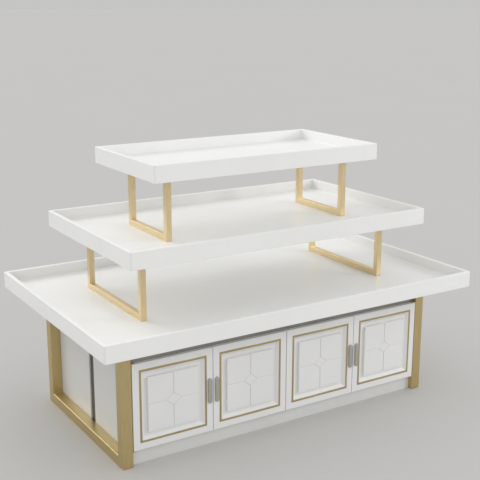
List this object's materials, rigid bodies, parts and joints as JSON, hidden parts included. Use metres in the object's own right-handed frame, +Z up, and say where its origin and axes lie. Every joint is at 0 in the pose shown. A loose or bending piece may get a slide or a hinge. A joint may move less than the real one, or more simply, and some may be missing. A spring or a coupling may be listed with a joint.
{
  "type": "tiered display table",
  "caption": "Tiered display table: open white trays stacked on gold metal ring frames above a low cabinet whose panelled doors swing out on pivot pins.",
  "frame": {"origin": "on the floor under the middle of the table", "axes": "+X along the table's length, +Y from the doors to the back, +Z up"},
  "size_m": [1.8, 1.105, 1.169],
  "materials": {
    "white_lacquer": "satin white lacquer on fibreboard",
    "cabinet_board": "satin white lacquer on fibreboard",
    "door_lacquer": "satin white lacquer on milled fibreboard",
    "grey_board": "matt grey paint on fibreboard",
    "gold_frame": "brushed champagne gold coating on steel",
    "gold_bead": "satin gold strip",
    "pull_metal": "satin grey anodised",
    "pivot_steel": "zinc-plated steel",
    "plate_coat": "light grey powder coat on steel plate",
    "catch_plastic": "moulded grey plastic"
  },
  "bodies": {
    "table": {"lower_tray_floor": "white_lacquer", "lower_tray_rim_front": "white_lacquer", "lower_tray_rim_back": "white_lacquer", "lower_tray_rim_left": "white_lacquer", "lower_tray_rim_right": "white_lacquer", "middle_tray_floor": "white_lacquer", "middle_tray_rim_front": "white_lacquer", "middle_tray_rim_back": "white_lacquer", "middle_tray_rim_left": "white_lacquer", "middle_tray_rim_right": "white_lacquer", "upper_tray_floor": "white_lacquer", "upper_tray_rim_front": "white_lacquer", "upper_tray_rim_back": "white_lacquer", "upper_tray_rim_left": "white_lacquer", "upper_tray_rim_right": "white_lacquer", "base_frame_left": "gold_frame", "base_frame_right": "gold_frame", "middle_frame_left": "gold_frame", "middle_frame_right": "gold_frame", "upper_frame_left": "gold_frame", "upper_frame_right": "gold_frame", "bottom_deck": "cabinet_board", "cabinet_top": "cabinet_board", "centre_partition": "cabinet_board", "plinth_front": "cabinet_board", "plinth_back": "cabinet_board", "frieze_front": "grey_board", "frieze_back": "grey_board", "end_panel_left_front": "cabinet_board", "end_panel_left_back": "cabinet_board", "end_panel_right_front": "cabinet_board", "end_panel_right_back": "cabinet_board", "end_strip_left": "grey_board", "end_strip_right": "grey_board", "back_panel_left": "cabinet_board", "back_panel_right": "cabinet_board", "pivot_left_bottom": "gold_frame", "pivot_left_top": "gold_frame", "pivot_right_bottom": "gold_frame", "pivot_right_top": "gold_frame", "pivot_middle_bottom": "plate_coat", "pivot_middle_top": "plate_coat", "magnetic_catch_left": "catch_plastic", "magnetic_catch_right": "catch_plastic"},
    "door_left_outer": {"door_left_outer_slab": "door_lacquer", "door_left_outer_bead": "gold_bead", "door_left_outer_pull": "pull_metal", "door_left_outer_strike": "pivot_steel"},
    "door_left_inner": {"door_left_inner_slab": "door_lacquer", "door_left_inner_bead": "gold_bead", "door_left_inner_pull": "pull_metal", "door_left_inner_strike": "pivot_steel"},
    "door_right_inner": {"door_right_inner_slab": "door_lacquer", "door_right_inner_bead": "gold_bead", "door_right_inner_pull": "pull_metal", "door_right_inner_strike": "pivot_steel"},
    "door_right_outer": {"door_right_outer_slab": "door_lacquer", "door_right_outer_bead": "gold_bead", "door_right_outer_pull": "pull_metal", "door_right_outer_strike": "pivot_steel"}
  },
  "joints": [
    {"name": "door_left_outer_hinge", "type": "hinge", "parent": "table", "child": "door_left_outer", "pos_m": [-0.716, -0.388, 0.2495], "axis": [0, 0, -1], "range_deg": [0, 100]},
    {"name": "door_left_inner_hinge", "type": "hinge", "parent": "table", "child": "door_left_inner", "pos_m": [-0.0065, -0.388, 0.2495], "axis": [0, 0, 1], "range_deg": [0, 86]},
    {"name": "door_right_inner_hinge", "type": "hinge", "parent": "table", "child": "door_right_inner", "pos_m": [0.0065, -0.388, 0.2495], "axis": [0, 0, -1], "range_deg": [0, 86]},
    {"name": "door_right_outer_hinge", "type": "hinge", "parent": "table", "child": "door_right_outer", "pos_m": [0.716, -0.388, 0.2495], "axis": [0, 0, 1], "range_deg": [0, 100]}
  ]
}
